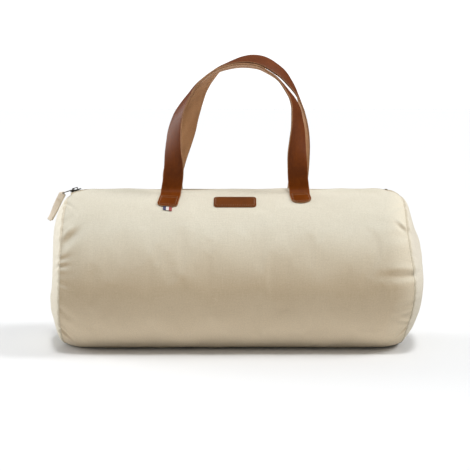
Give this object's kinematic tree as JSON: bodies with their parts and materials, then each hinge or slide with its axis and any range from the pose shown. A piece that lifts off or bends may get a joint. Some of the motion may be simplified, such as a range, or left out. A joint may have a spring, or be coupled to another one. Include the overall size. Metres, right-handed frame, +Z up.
{
  "type": "duffel bag",
  "caption": "Barrel-shaped canvas duffel bag with round bulging ends, a zip along the top, two upright leather strap handles, a small leather patch and a ribbon tab.",
  "frame": {"origin": "centre of the flat resting face under the barrel, on the floor", "axes": "+Z up, +X along the barrel towards its right end, -Y out of the front face with the leather patch; the closed zip slider stands at the -X end"},
  "size_m": [0.563, 0.242, 0.4356],
  "materials": {
    "canvas": "matt",
    "binding": "matt",
    "thread": "matt",
    "zip_tape": "matt",
    "zip_metal": "satin",
    "slider_metal": "satin",
    "puller_metal": "satin",
    "leather": "waxed",
    "backing": "matt",
    "ribbon": "satin"
  },
  "bodies": {
    "bag": {"body_panel": "canvas", "end_panel_left": "canvas", "end_panel_right": "canvas", "seam_binding_left": "binding", "seam_binding_right": "binding", "end_seam_stitching_left": "thread", "end_seam_stitching_right": "thread", "zip_tape_front": "zip_tape", "zip_tape_rear": "zip_tape", "zip_teeth_front": "zip_metal", "zip_teeth_rear": "zip_metal", "zip_top_stops": "zip_metal", "zip_bottom_stop": "zip_metal", "zip_stitching_front": "thread", "zip_stitching_rear": "thread", "front_handle_foot_left": "leather", "front_handle_foot_right": "leather", "rear_handle_foot_left": "leather", "rear_handle_foot_right": "leather", "front_handle_stitching": "thread", "rear_handle_stitching": "thread", "handle_backing_patches": "backing", "leather_patch": "leather", "leather_patch_stitching": "thread", "ribbon_tag": "ribbon"},
    "zip_slider": {"zip_slider": "slider_metal"},
    "zip_puller": {"zip_puller": "puller_metal"},
    "pull_tape": {"pull_tape": "canvas", "pull_tape_stitching": "thread"},
    "front_handle": {"front_handle_strap": "leather"},
    "rear_handle": {"rear_handle_strap": "leather"}
  },
  "joints": [
    {"name": "zip_slide", "type": "slide", "parent": "bag", "child": "zip_slider", "axis": [1, 0, 0], "range_m": [0, 0.455], "deforming": ["zip_tape_front", "zip_tape_rear", "zip_teeth_front", "zip_teeth_rear", "zip_top_stops"]},
    {"name": "puller_swing", "type": "hinge", "parent": "zip_slider", "child": "zip_puller", "pos_m": [-0.24302, 0, 0.23359], "axis": [0, 1, 0], "range_deg": [-2, 155]},
    {"name": "pull_tape_swing", "type": "hinge", "parent": "zip_puller", "child": "pull_tape", "pos_m": [-0.25919, 0, 0.22834], "axis": [0, 1, 0], "range_deg": [-6, 100]},
    {"name": "front_handle_swing", "type": "hinge", "parent": "bag", "child": "front_handle", "pos_m": [0, -0.0272, 0.2348], "axis": [1, 0, 0], "range_deg": [0, 90]},
    {"name": "rear_handle_swing", "type": "hinge", "parent": "bag", "child": "rear_handle", "pos_m": [0, 0.0272, 0.2348], "axis": [-1, 0, 0], "range_deg": [0, 90]}
  ]
}
